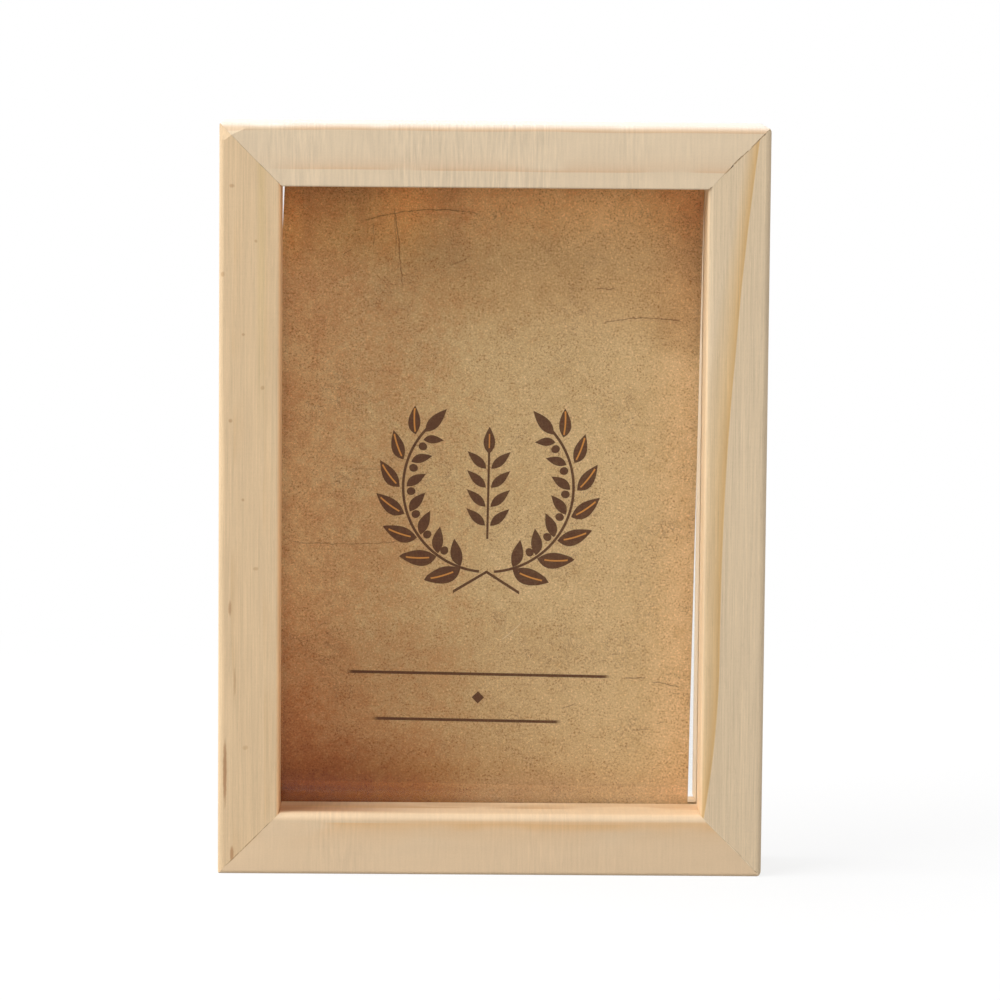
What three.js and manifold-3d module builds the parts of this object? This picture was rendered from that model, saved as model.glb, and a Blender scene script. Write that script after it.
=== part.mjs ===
// A deep wooden picture frame: four mitred pine rails round two clear panes with a card between them.
// Strips behind the panes hold them in, and turn buttons on the back hold the strips.
// Millimetres. +X to the viewer's right, +Y to the back, +Z up. The origin is under the middle of the frame.
import * as THREE from "three";
import { mergeVertices } from "three/addons/utils/BufferGeometryUtils.js";
import Module from "manifold-3d";

const wasm = await Module();
wasm.setup();

// The card, which the frame is made for, and its room in front of the pane behind it
const cardWidth = 100;
const cardHeight = 152;
const cardThickness = 0.5;
const cardTiltDegrees = 0.6;
const cardShift = -0.9;
const cardSidePlay = 2.7;
const cardTopPlay = 2.4;

// The panes
const paneThickness = 1.6;
const paneEdgePlay = 0.5;
const faceClearance = 0.05;
const floorClearance = 0.1;

// The rails
const railFace = 14.8;
const railDepth = 28;
const recessDepth = 16;
const rebateWidth = 3;
const outerArris = 1.5;
const innerArris = 1.2;
const cornerRadius = 1.5;
const glueLine = 0.1;

// The strips that fill the rear rebate
const stripSideClearance = 0.2;
const stripArris = 0.4;
const rightStripProud = 0.55;

// The vee nails across the mitres
const veeSheet = 0.6;
const veeArm = 4;
const veeDepth = 10;
const veeSunk = 0.4;
const veeHalfAngleDegrees = 55;
const veeApexFromOuterFaces = 8;
const veePocketClearance = 0.1;

// The turn buttons and their screws
const buttonPivotRadius = 3.6;
const buttonTipRadius = 2.4;
const buttonThickness = 1;
const buttonEdgeRound = 0.2;
const buttonSpacing = 92;
const buttonTipSetback = 0.4;
const buttonLift = 0.1;
const buttonHoleClearance = 0.1;
const pivotFromOuterFace = 6.2;
const screwShankRadius = 1.1;
const screwHeadRadius = 2.3;
const screwHeadHeight = 1.5;
const screwHeadLift = 0.1;
const screwLength = 11;
const screwPointLength = 2;
const screwCrossWidth = 0.6;
const screwCrossLength = 2.6;
const screwCrossDepth = 0.8;
const pilotClearance = 0.05;

// The sawtooth hanger and its nails
const hangerLength = 40;
const hangerHeight = 7;
const hangerSheet = 0.7;
const hangerStandOff = 1.3;
const hangerFootLength = 7;
const hangerRampLength = 2.5;
const hangerTeeth = 9;
const hangerToothDepth = 1.6;
const hangerLift = 0.05;
const hangerNailRadius = 0.6;
const hangerNailHeadRadius = 1.5;
const hangerNailHeadHeight = 0.5;
const hangerNailHeadLift = 0.05;
const hangerNailLength = 9;
const hangerNailPointLength = 1.5;
const hangerHoleClearance = 0.1;

// Flat steps in a quarter of a round shape
const arrisSteps = 6;
const holeSteps = 6;

// Overrun of a cutting shape past the face that it cuts
const overrun = 1;

// Sizes and places worked out from the ones above
const buttonStack = buttonLift + buttonThickness + screwHeadLift + screwHeadHeight;
const hangerStack = hangerLift + hangerStandOff + hangerSheet;
const overallDepth = railDepth + Math.max(buttonStack, hangerStack);
const frontY = -overallDepth / 2;
const rearY = frontY + railDepth;
const shoulderY = frontY + recessDepth;
const rearFace = railFace - rebateWidth;
const paneWidth = cardWidth + 2 * cardSidePlay;
const paneHeight = cardHeight + cardTopPlay;
const frameWidth = paneWidth + 2 * (paneEdgePlay + rearFace);
const frameHeight = paneHeight + 2 * (paneEdgePlay + rearFace);
const frontPaneY = shoulderY + faceClearance;
const cardY = frontPaneY + paneThickness + faceClearance;
const rearPaneY = cardY + cardThickness + faceClearance;
const stripY = rearPaneY + paneThickness + faceClearance;
const floorZ = rearFace + floorClearance;
const middleZ = frameHeight / 2;
const screwHeadY = rearY + buttonLift + buttonThickness + screwHeadLift;
const hangerZ = frameHeight - (rearFace + outerArris) / 2;
const hangerNailX = (hangerLength - hangerFootLength) / 2;
const hangerNailHeadY = rearY + hangerLift + hangerSheet + hangerNailHeadLift;

// Materials
const pine = new THREE.MeshStandardMaterial({ color: 0xd7bc93, roughness: 0.72, metalness: 0 });
const kraftCard = new THREE.MeshStandardMaterial({ color: 0xa8784a, roughness: 0.9, metalness: 0 });
const brass = new THREE.MeshStandardMaterial({ color: 0xc2a25a, roughness: 0.35, metalness: 1 });
const steel = new THREE.MeshStandardMaterial({ color: 0xa9abad, roughness: 0.4, metalness: 1 });
const clearGlass = new THREE.MeshStandardMaterial({
  color: 0xe9f1ee,
  roughness: 0.05,
  metalness: 0,
  transparent: true,
  opacity: 0.25,
});

const frame = new THREE.Group();

function addPiece(name, geometry, material) {
  const mesh = new THREE.Mesh(geometry, material);
  mesh.name = name;
  frame.add(mesh);
}

function solidOf(geometry) {
  const bare = geometry.clone();
  bare.deleteAttribute("normal");
  bare.deleteAttribute("uv");
  const merged = mergeVertices(bare);
  return new wasm.Manifold(
    new wasm.Mesh({
      numProp: 3,
      vertProperties: merged.attributes.position.array,
      triVerts: new Uint32Array(merged.index.array),
    }),
  );
}

function geometryOf(solid) {
  const mesh = solid.getMesh();
  const geometry = new THREE.BufferGeometry();
  geometry.setAttribute("position", new THREE.BufferAttribute(mesh.vertProperties, 3));
  geometry.setIndex(new THREE.BufferAttribute(mesh.triVerts, 1));
  return geometry;
}

// The first solid less each of the cutters.
function cutBy(solid, cutters) {
  return cutters.reduce((left, cutter) => left.subtract(cutter), solid);
}

function outlineThrough(points) {
  return new THREE.Shape(points.map(([x, y]) => new THREE.Vector2(x, y)));
}

// A circle drawn as two half turns, so that it has as many steps a quarter as the other round shapes.
function discOutline(radius, x = 0, y = 0) {
  const circle = new THREE.Shape();
  circle.absarc(x, y, radius, 0, Math.PI);
  circle.absarc(x, y, radius, Math.PI, 2 * Math.PI);
  return circle;
}

function roundedRectangle(left, bottom, right, top, radius) {
  const shape = new THREE.Shape();
  shape.absarc(right - radius, bottom + radius, radius, -Math.PI / 2, 0);
  shape.absarc(right - radius, top - radius, radius, 0, Math.PI / 2);
  shape.absarc(left + radius, top - radius, radius, Math.PI / 2, Math.PI);
  shape.absarc(left + radius, bottom + radius, radius, Math.PI, 1.5 * Math.PI);
  shape.closePath();
  return shape;
}

// A prism over an outline drawn as seen from the front, in X and Z, from one depth to another.
function prismAlongY(outline, fromY, toY, curveSegments = arrisSteps) {
  const prism = new THREE.ExtrudeGeometry(outline, {
    depth: toY - fromY,
    bevelEnabled: false,
    curveSegments,
  });
  prism.rotateX(Math.PI / 2);
  prism.translate(0, toY, 0);
  return prism;
}

// A round hole along Y that opens through the face at toY.
function drilling(radius, x, z, fromY, toY) {
  return solidOf(prismAlongY(discOutline(radius, x, z), fromY, toY + overrun, 2 * holeSteps));
}

// A nail or screw along Y, with the underside of its domed head at Y = 0 and its point at negative Y.
function headedPin({ shank, length, point, headRadius, headHeight, crown }) {
  const profile = [
    new THREE.Vector2(0, -length),
    new THREE.Vector2(shank, -length + point),
    new THREE.Vector2(shank, 0),
    new THREE.Vector2(headRadius, 0),
    new THREE.Vector2(headRadius, headHeight - crown),
  ];
  for (let step = 1; step < holeSteps; step++) {
    const angle = (step / holeSteps) * (Math.PI / 2);
    const height = headHeight - crown + crown * Math.sin(angle);
    profile.push(new THREE.Vector2(headRadius * Math.cos(angle), height));
  }
  profile.push(new THREE.Vector2(0, headHeight));
  return new THREE.LatheGeometry(profile, 4 * holeSteps);
}

// The four sides of the frame. A rail or strip is drawn along the bottom, then turned to its own side.
const sides = [
  { name: "bottom", turns: 0, length: frameWidth, reach: frameHeight / 2 },
  { name: "right", turns: 1, length: frameHeight, reach: frameWidth / 2 },
  { name: "top", turns: 2, length: frameWidth, reach: frameHeight / 2 },
  { name: "left", turns: 3, length: frameHeight, reach: frameWidth / 2 },
];

function turnToSide(geometry, side) {
  geometry.translate(0, 0, -side.reach);
  geometry.rotateY((-side.turns * Math.PI) / 2);
  geometry.translate(0, 0, middleZ);
  return geometry;
}

// A bar with a section drawn from its outer face inwards, its ends cut to 45 degrees less half a glue line.
function mitredBar(section, side, inset, width) {
  const bar = new THREE.ExtrudeGeometry(section, {
    depth: side.length,
    bevelEnabled: false,
    curveSegments: arrisSteps,
  });
  bar.rotateY(-Math.PI / 2);
  bar.translate(side.length / 2, 0, 0);
  const outerEnd = side.length / 2 - inset - glueLine / Math.SQRT2;
  const trapezium = outlineThrough([
    [-outerEnd, inset],
    [outerEnd, inset],
    [outerEnd - width, inset + width],
    [-outerEnd + width, inset + width],
  ]);
  return solidOf(bar).intersect(solidOf(prismAlongY(trapezium, frontY - overrun, rearY + overrun)));
}

// The rail's section: from the outer face inwards, and from front to back.
function railSection() {
  const shape = new THREE.Shape();
  shape.absarc(outerArris, frontY + outerArris, outerArris, Math.PI, 1.5 * Math.PI);
  shape.absarc(railFace - innerArris, frontY + innerArris, innerArris, -Math.PI / 2, 0);
  shape.lineTo(railFace, shoulderY);
  shape.lineTo(rearFace, shoulderY);
  shape.lineTo(rearFace, rearY);
  shape.absarc(outerArris, rearY - outerArris, outerArris, Math.PI / 2, Math.PI);
  shape.closePath();
  return shape;
}

// The frame's outline with its rounded corners, for the side that is drawn along the bottom.
function outerPrism(side) {
  const outline = roundedRectangle(-side.length / 2, 0, side.length / 2, 2 * side.reach, cornerRadius);
  return solidOf(prismAlongY(outline, frontY - overrun, rearY + overrun));
}

function makeRail(side, cutters) {
  const bar = mitredBar(railSection(), side, 0, railFace).intersect(outerPrism(side));
  const placed = turnToSide(geometryOf(bar), side);
  addPiece(`${side.name}_rail`, geometryOf(cutBy(solidOf(placed), cutters)), pine);
}

// A strip stands in the rebate behind the panes. Its inner face is flush with the walls of the recess, but the
// right strip stands a little proud of them.
function makeStrip(side) {
  const inset = rearFace + stripSideClearance;
  const innerFace = side.name === "right" ? railFace + rightStripProud : railFace;
  const section = new THREE.Shape();
  section.moveTo(inset, stripY);
  section.lineTo(innerFace, stripY);
  section.lineTo(innerFace, rearY - stripArris);
  section.lineTo(innerFace - stripArris, rearY);
  section.lineTo(inset, rearY);
  section.closePath();
  const bar = mitredBar(section, side, inset, innerFace - inset);
  addPiece(`${side.name}_strip`, turnToSide(geometryOf(bar), side), pine);
}

// A pane stands on the floor of the rebate.
function makePane(name, y) {
  const pane = new THREE.BoxGeometry(paneWidth, paneThickness, paneHeight);
  pane.translate(0, y + paneThickness / 2, floorZ + paneHeight / 2);
  addPiece(name, pane, clearGlass);
}

// The card stands askew between the panes, on its lowest corner.
function makeCard() {
  const tilt = THREE.MathUtils.degToRad(cardTiltDegrees);
  const card = new THREE.BoxGeometry(cardWidth, cardThickness, cardHeight);
  const centreOverFloor = (cardWidth * Math.sin(Math.abs(tilt)) + cardHeight * Math.cos(tilt)) / 2;
  card.rotateY(tilt);
  card.translate(cardShift, cardY + cardThickness / 2, floorZ + centreOverFloor);
  addPiece("printed_card", card, kraftCard);
}

// The corners of the frame, with the way from each one to the middle.
const corners = [
  { name: "bottom_left", inX: 1, inZ: 1 },
  { name: "bottom_right", inX: -1, inZ: 1 },
  { name: "top_right", inX: -1, inZ: -1 },
  { name: "top_left", inX: 1, inZ: -1 },
];

// A vee seen from the back: its apex points to the middle of the frame and it lies across the mitre.
function veePrism(corner, clearance, fromY, toY) {
  const halfAngle = THREE.MathUtils.degToRad(veeHalfAngleDegrees);
  const halfSheet = veeSheet / 2 + clearance;
  const arm = veeArm + clearance;
  const apex = halfSheet / Math.sin(halfAngle);
  const back = [-arm * Math.cos(halfAngle), arm * Math.sin(halfAngle)];
  const normal = [halfSheet * Math.sin(halfAngle), halfSheet * Math.cos(halfAngle)];
  const alongAndAcross = [
    [apex, 0],
    [back[0] + normal[0], back[1] + normal[1]],
    [back[0] - normal[0], back[1] - normal[1]],
    [-apex, 0],
    [back[0] - normal[0], -back[1] + normal[1]],
    [back[0] + normal[0], -back[1] - normal[1]],
  ];
  const cornerX = (-corner.inX * frameWidth) / 2;
  const cornerZ = middleZ - (corner.inZ * frameHeight) / 2;
  const points = alongAndAcross.map(([along, across]) => [
    cornerX + corner.inX * (veeApexFromOuterFaces + (along + across) / Math.SQRT2),
    cornerZ + corner.inZ * (veeApexFromOuterFaces + (along - across) / Math.SQRT2),
  ]);
  return prismAlongY(outlineThrough(points), fromY, toY);
}

function makeVeeNail(corner) {
  const rear = rearY - veeSunk;
  addPiece(`${corner.name}_vee_nail`, veePrism(corner, 0, rear - veeDepth, rear), steel);
}

function veePocket(corner) {
  const bottom = rearY - veeSunk - veeDepth - veePocketClearance;
  return solidOf(veePrism(corner, veePocketClearance, bottom, rearY + overrun));
}

// The turn buttons, two on each side rail, with the way from each pivot to the middle.
const buttons = [
  { name: "left_upper", inX: 1, level: 1 },
  { name: "left_lower", inX: 1, level: -1 },
  { name: "right_upper", inX: -1, level: 1 },
  { name: "right_lower", inX: -1, level: -1 },
].map((button) => ({
  ...button,
  x: -button.inX * (frameWidth / 2 - pivotFromOuterFace),
  z: middleZ + (button.level * buttonSpacing) / 2,
}));

// A button's arm reaches over the strip but not past its inner face.
function makeButton(button) {
  const reach = railFace - buttonTipSetback - buttonTipRadius - pivotFromOuterFace;
  const flank = Math.acos((buttonPivotRadius - buttonTipRadius) / reach);
  const outline = new THREE.Shape();
  outline.absarc(reach, 0, buttonTipRadius, -flank, flank);
  outline.absarc(0, 0, buttonPivotRadius, flank, 2 * Math.PI - flank);
  outline.closePath();
  outline.holes.push(discOutline(screwShankRadius + buttonHoleClearance));
  const plate = new THREE.ExtrudeGeometry(outline, {
    depth: buttonThickness - 2 * buttonEdgeRound,
    bevelThickness: buttonEdgeRound,
    bevelSize: buttonEdgeRound,
    bevelOffset: -buttonEdgeRound,
    bevelSegments: 2,
    curveSegments: 2 * holeSteps,
  });
  plate.rotateX(Math.PI / 2);
  plate.rotateY(button.inX > 0 ? 0 : Math.PI);
  plate.translate(button.x, rearY + buttonLift + buttonThickness - buttonEdgeRound, button.z);
  addPiece(`${button.name}_button`, plate, brass);
}

function makeScrew(button) {
  const pin = headedPin({
    shank: screwShankRadius,
    length: screwLength,
    point: screwPointLength,
    headRadius: screwHeadRadius,
    headHeight: screwHeadHeight,
    crown: screwHeadHeight / 2,
  });
  const crossY = screwHeadHeight - screwCrossDepth + overrun / 2;
  const arms = [
    [screwCrossLength, screwCrossWidth],
    [screwCrossWidth, screwCrossLength],
  ].map(([wide, tall]) => {
    const arm = new THREE.BoxGeometry(wide, overrun, tall);
    return solidOf(arm.translate(0, crossY, 0));
  });
  const screw = geometryOf(cutBy(solidOf(pin), arms));
  screw.translate(button.x, screwHeadY, button.z);
  addPiece(`${button.name}_screw`, screw, steel);
}

function screwPilot(button) {
  const bottom = screwHeadY - screwLength - pilotClearance;
  return drilling(screwShankRadius + pilotClearance, button.x, button.z, bottom, rearY);
}

// The hanger's feet lie on the top rail. Its middle stands off, so that a nail in the wall goes behind it.
function makeHanger() {
  const end = hangerLength / 2;
  const footEnd = end - hangerFootLength;
  const rampEnd = footEnd - hangerRampLength;
  const low = rearY + hangerLift;
  const high = low + hangerStandOff;
  const section = outlineThrough([
    [-end, low],
    [-footEnd, low],
    [-rampEnd, high],
    [rampEnd, high],
    [footEnd, low],
    [end, low],
    [end, low + hangerSheet],
    [footEnd, low + hangerSheet],
    [rampEnd, high + hangerSheet],
    [-rampEnd, high + hangerSheet],
    [-footEnd, low + hangerSheet],
    [-end, low + hangerSheet],
  ]);
  const sheet = new THREE.ExtrudeGeometry(section, { depth: hangerHeight, bevelEnabled: false });
  const lowerEdge = hangerZ - hangerHeight / 2;
  sheet.translate(0, 0, lowerEdge);
  const pitch = (2 * rampEnd) / hangerTeeth;
  const zigzag = [[-rampEnd, lowerEdge - overrun]];
  for (let tooth = 0; tooth < hangerTeeth; tooth++) {
    zigzag.push([-rampEnd + tooth * pitch, lowerEdge]);
    zigzag.push([-rampEnd + (tooth + 0.5) * pitch, lowerEdge + hangerToothDepth]);
  }
  zigzag.push([rampEnd, lowerEdge], [rampEnd, lowerEdge - overrun]);
  const toothCutter = solidOf(prismAlongY(outlineThrough(zigzag), rearY, high + hangerSheet + overrun));
  const holes = [-hangerNailX, hangerNailX].map((x) =>
    drilling(hangerNailRadius + hangerHoleClearance, x, hangerZ, rearY - overrun, high + hangerSheet),
  );
  addPiece("sawtooth_hanger", geometryOf(cutBy(solidOf(sheet), [toothCutter, ...holes])), brass);
}

function makeHangerNail(name, x) {
  const nail = headedPin({
    shank: hangerNailRadius,
    length: hangerNailLength,
    point: hangerNailPointLength,
    headRadius: hangerNailHeadRadius,
    headHeight: hangerNailHeadHeight,
    crown: hangerNailHeadHeight / 2,
  });
  nail.translate(x, hangerNailHeadY, hangerZ);
  addPiece(name, nail, brass);
}

function hangerNailPilot(x) {
  const bottom = hangerNailHeadY - hangerNailLength - pilotClearance;
  return drilling(hangerNailRadius + pilotClearance, x, hangerZ, bottom, rearY);
}

const railCutters = [
  ...corners.map(veePocket),
  ...buttons.map(screwPilot),
  hangerNailPilot(-hangerNailX),
  hangerNailPilot(hangerNailX),
];
sides.forEach((side) => makeRail(side, railCutters));
sides.forEach(makeStrip);
makePane("front_pane", frontPaneY);
makeCard();
makePane("rear_pane", rearPaneY);
corners.forEach(makeVeeNail);
buttons.forEach(makeButton);
buttons.forEach(makeScrew);
makeHanger();
makeHangerNail("left_hanger_nail", -hangerNailX);
makeHangerNail("right_hanger_nail", hangerNailX);

export default frame;
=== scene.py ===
import math
import random
from contextlib import contextmanager
from functools import reduce

import bmesh
import bpy
from mathutils import Matrix, Vector


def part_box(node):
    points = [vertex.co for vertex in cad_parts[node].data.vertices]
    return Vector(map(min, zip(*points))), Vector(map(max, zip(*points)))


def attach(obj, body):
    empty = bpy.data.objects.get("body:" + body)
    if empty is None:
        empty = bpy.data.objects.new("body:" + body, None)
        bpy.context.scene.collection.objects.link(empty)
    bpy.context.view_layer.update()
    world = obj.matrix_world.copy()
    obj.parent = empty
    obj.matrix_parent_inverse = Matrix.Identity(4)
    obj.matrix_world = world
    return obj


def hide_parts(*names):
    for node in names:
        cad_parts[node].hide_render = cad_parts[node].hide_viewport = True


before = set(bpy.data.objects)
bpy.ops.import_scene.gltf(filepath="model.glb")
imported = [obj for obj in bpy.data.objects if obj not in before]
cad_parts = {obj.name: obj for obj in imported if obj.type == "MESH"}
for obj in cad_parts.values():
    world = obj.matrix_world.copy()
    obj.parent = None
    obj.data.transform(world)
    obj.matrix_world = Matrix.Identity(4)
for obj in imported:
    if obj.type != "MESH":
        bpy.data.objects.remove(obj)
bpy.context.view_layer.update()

MM = 0.001

# Places of the frame, read from its solids
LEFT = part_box("left_rail")[0].x
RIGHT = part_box("right_rail")[1].x
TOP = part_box("top_rail")[1].z
FRONT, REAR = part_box("top_rail")[0].y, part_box("top_rail")[1].y
RAIL_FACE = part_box("left_rail")[1].x - LEFT
MIDDLE_Z = TOP / 2

# Sizes that the solids' boxes don't give
FACE_CLEARANCE = 0.05 * MM
REBATE_WIDTH = 3 * MM
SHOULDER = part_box("front_pane")[0].y - FACE_CLEARANCE
REAR_FACE = RAIL_FACE - REBATE_WIDTH
OUTER_ARRIS = {"top": 1.5 * MM, "right": 1.5 * MM, "bottom": 0.9 * MM, "left": 1.5 * MM}
INNER_ARRIS = {"top": 0.4 * MM, "right": 1.5 * MM, "bottom": 1.4 * MM, "left": 0.9 * MM}
REAR_ARRIS = 0.3 * MM
SHOULDER_ARRIS = 0.15 * MM
LEFT_CORNER_RADIUS, RIGHT_CORNER_RADIUS = 0.5 * MM, 1.4 * MM
ARRIS_STEPS, CORNER_STEPS, ROUND_STEPS = 8, 6, 40
# Angles in degrees above which a bevel or smooth shading takes an edge as sharp
BEVEL_ANGLE, SMOOTH_ANGLE, RAIL_SMOOTH_ANGLE = 50, 35, 20
NEAR = 0.002 * MM
OVERRUN = 1 * MM

# How far the inner edge of the left rail and its strip stands back, as planed
LEFT_PLANED = 0.3 * MM

# The strips. The whittled line is on the left one, as it lies along the bottom
STRIP_PLAY, STRIP_END_PLAY = 0.2 * MM, 0.1 * MM
STRIP_REAR_ARRIS, STRIP_FRONT_ARRIS = 0.4 * MM, 0.1 * MM
WHITTLED_FROM = Vector((-46 * MM, 0, 14.5 * MM))
WHITTLED_TO = Vector((-76 * MM, 0, 13.6 * MM))

# The mitres: half the glue line, a length a little over theirs, and for each how far its front edge strays to
# either side and how many chips it has
HALF_GLUE_LINE = 0.012 * MM
MITRE_LENGTH = 1.5 * RAIL_FACE
RAGGED_MITRES = {
    ("top", "left"): (0.05 * MM, 0),
    ("top", "right"): (0.24 * MM, 4),
    ("bottom", "left"): (0.08 * MM, 1),
    ("bottom", "right"): (0.1 * MM, 5),
}
# Straight runs and chips in mm, and where chips start, in widths of a rail
STRAIGHT_RUNS, CHIP_LENGTHS, CHIP_STARTS = (0.5, 2.2), (0.3, 1.2), (0.1, 1.2)
MITRE_CUTS = 70
CHIP_BAND, CHIP_DEPTH = 0.45 * MM, 0.06 * MM
CHIP_WIDTH, CHIP_REACH = 0.3 * MM, 0.5 * MM

# The sanded upper left corner: three points of the plane from the corner in mm, and the turn of each stroke
SANDED_PLANE = ((0.7, 0, -3.8), (7.2, 0, -0.6), (0.2, 1.8, 0))
SANDING_STROKES = (3, -9)
SANDER_REACH, SANDER_DEPTH = 20 * MM, 15 * MM

# The vee nails lie with their apex this far from the outer faces, in pockets a little larger than they are
VEE_APEX, VEE_ARM = 8 * MM, 4 * MM
VEE_HALF_ANGLE = 55
VEE_POCKET_WIDTH, VEE_POCKET_DEPTH, VEE_POCKET_PLAY = 0.8 * MM, 10.5 * MM, 0.1 * MM

# The screws, the buttons, the hanger and its nails
SCREW_SHANK, SCREW_HEAD, SCREW_HEAD_HEIGHT, SCREW_POINT = 1.1 * MM, 2.3 * MM, 1.5 * MM, 2 * MM
SCREW_CROSS = (2.6 * MM, 0.6 * MM, 0.8 * MM)
SCREW_TURNS = (0.1, 1.4)
PILOT_PLAY, PILOT_DEPTH = 0.05 * MM, 8 * MM
BUTTON_PIVOT, BUTTON_TIP, BUTTON_HOLE = 3.6 * MM, 2.4 * MM, 1.2 * MM
SCREW_ARRIS, BUTTON_ARRIS, HANGER_ARRIS = 0.06 * MM, 0.18 * MM, 0.07 * MM
HANGER_SHEET = 0.7 * MM
HANGER_FOOT_END, HANGER_RAMP_END = 13 * MM, 10.5 * MM
HANGER_TEETH, HANGER_TOOTH_DEPTH, HANGER_NOTCH_REACH = 9, 1.6 * MM, 2 * MM
NAIL_HOLE, NAIL_SHANK, NAIL_POINT = 0.7 * MM, 0.6 * MM, 1.5 * MM
NAIL_HEAD, NAIL_HEAD_HEIGHT = 1.5 * MM, 0.5 * MM
# Steps around round pieces and up a domed head, and how far its flat top and a point's tip narrow
SCREW_STEPS, SCREW_HOLE_STEPS, NAIL_STEPS, NAIL_HOLE_STEPS, PIVOT_STEPS = 48, 40, 32, 24, 56
DOME_STEPS, DOME_TOP, POINT_TIP = 7, 0.3, 0.06

# The panes' edges, the card's turn, size and edges, its middle from its solid's, and its trimmed side
PANE_ARRIS = 0.12 * MM
CARD_TILT = 0.8
CARD_SIZE = (100.6 * MM, 152 * MM)
CARD_ARRIS = 0.06 * MM
CARD_SHIFT = Vector((-0.3, 0, 0.2)) * MM
TRIMMED_FROM = Vector((-50.62 * MM, 0, 151.5 * MM))
TRIMMED_TO = Vector((-50.05 * MM, 0, 164.6 * MM))

# Kraft from brown to tan
KRAFT = [
    (0.0, (140, 76, 36)),
    (0.3, (176, 114, 66)),
    (0.6, (196, 148, 98)),
    (0.85, (206, 171, 122)),
    (1.0, (216, 182, 134)),
]
# The card's print, in mm: the soft edge of its ink; the wreath's radius, its leaves on each side, how far its
# middle is above the card's, the angle from leaf to leaf and of the first, and in degrees those of its stem's
# ends and of its last leaf; and the pitch of the small sprig's leaves
INK_EDGE = (-0.05, 0.05)
WREATH_RADIUS, WREATH_LEAVES, WREATH_UP = 20.5, 7, 3.0
WREATH_STEP, WREATH_START = math.radians(17.5), math.radians(16)
STEM_ENDS, END_LEAF = (5, 137), 141
SPRIG_PITCH = 4.6
# The height of each ruled line, half its length, half its width and its middle
RULE_LINES = [(-42.4, 31, 0.34, -1.4), (-53.7, 22, 0.34, -4.0)]

# The card's level and upright creases: where each starts and ends, its place across its run, its sag, its
# rise, its width and its strength, in mm from the card's middle
LEVEL_CREASES = [
    (-33, -2.3, 65.9, 2.1, 2.6, 0.13, 0.65),
    (-36.2, -33.8, 58.1, 0, 1.5, 0.12, 0.5),
    (-10.8, -5.1, 56.4, -0.5, 2.7, 0.12, 0.45),
    (-48.5, -14, -11.0, -1.2, 1.6, 0.12, 0.45),
    (-33, -24.5, 6.5, 0.3, 0.1, 0.12, 0.4),
    (-32, -19, 29.5, 2.2, -2.5, 0.1, 0.25),
    (26, 46.4, 43.1, 1.2, 0.6, 0.13, 0.65),
    (24.4, 29.5, 51.3, 0.1, 0, 0.13, 0.65),
    (18.9, 20.8, 41.2, 0, 1.2, 0.12, 0.5),
    (33.9, 39, -42.6, 0.1, 0, 0.14, 0.65),
    (40.4, 47.6, -43.3, 0, -1.2, 0.13, 0.6),
    (18.8, 22.5, -50.6, 0.2, 1.4, 0.12, 0.5),
    (36, 40.4, -55.5, 0.1, 0.4, 0.11, 0.45),
    (41.8, 43.8, -53.5, 0, 0.5, 0.11, 0.45),
    (-18.4, -16.5, -62.3, 0, 1, 0.11, 0.5),
]
UPRIGHT_CREASES = [
    (50.1, 70.4, -21.6, 0.3, -2.5, 0.15, 0.6),
    (57.5, 70.3, -23.2, 0, -0.8, 0.12, 0.4),
    (60, 66, -28.7, 0.2, -0.3, 0.12, 0.4),
]
PALE_SCRATCH = (3.8, 9.1, -34, -0.4, 4.9, 0.16, 0.55)

# The camera, fitted to the edges of the photograph's frame
CAMERA_PLACE = (-13.8 * MM, -1169.7 * MM, 220.7 * MM)
CAMERA_PITCH, CAMERA_YAW, CAMERA_ROLL = -6.443, -0.771, -0.5
SENSOR_WIDTH = 36
FOCAL_PIXELS, PICTURE_WIDTH = 4900, 1000
CLIP_RANGE = (0.05, 100)

# Each lamp's way from the frame, its distance, its size and its level
LAMPS = {
    "key lamp": ((-3.0, -1.0, 2.6), 3.0, 3.0, 1.34),
    "front lamp": ((0.4, -1.0, 0.5), 3.0, 2.4, 0.37),
    "back lamp": ((-0.9, 1.0, 0.3), 3.0, 3.6, 0.85),
}
WORLD_LEVEL = 0.28
# Rays that show the background itself: straight to the camera, or by glass or a mirror
DIRECT_RAYS = ("Camera", "Glossy", "Transmission")
FLOOR_SIZE = 60
FLOOR_SHADE = 0.5
FLOOR_SEEN_SHADE = 0.95
FLOOR_WHITE = 0.82
FLOOR_REACH = (0.12, 0.42)
DARK_SIDE = (-0.03, -0.14)
DARK_SIDE_LEVEL = 0.1

# Each side: its name, the quarter turns that bring it there from the bottom, its length and its reach
SIDES = [
    ("bottom", 0, RIGHT - LEFT, TOP / 2),
    ("right", 1, TOP, (RIGHT - LEFT) / 2),
    ("top", 2, RIGHT - LEFT, TOP / 2),
    ("left", 3, TOP, (RIGHT - LEFT) / 2),
]
draw = random.Random(7)


# Modelling

def choose(*pieces):
    """Selects these pieces alone, with the first one active."""
    bpy.ops.object.select_all(action="DESELECT")
    for piece in pieces:
        piece.select_set(True)
    if pieces:
        bpy.context.view_layer.objects.active = pieces[0]


@contextmanager
def editing(piece):
    choose(piece)
    bpy.ops.object.mode_set(mode="EDIT")
    bpy.ops.mesh.select_all(action="SELECT")
    yield
    bpy.ops.object.mode_set(mode="OBJECT")


def pick(piece, kind, wanted):
    """In edit mode, selects the vertices, edges or faces that pass a test."""
    bpy.ops.mesh.select_mode(type=kind)
    bpy.ops.mesh.select_all(action="DESELECT")
    mesh = bmesh.from_edit_mesh(piece.data)
    for part in {"VERT": mesh.verts, "EDGE": mesh.edges, "FACE": mesh.faces}[kind]:
        if wanted(part):
            part.select_set(True)
    bmesh.update_edit_mesh(piece.data)


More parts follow.
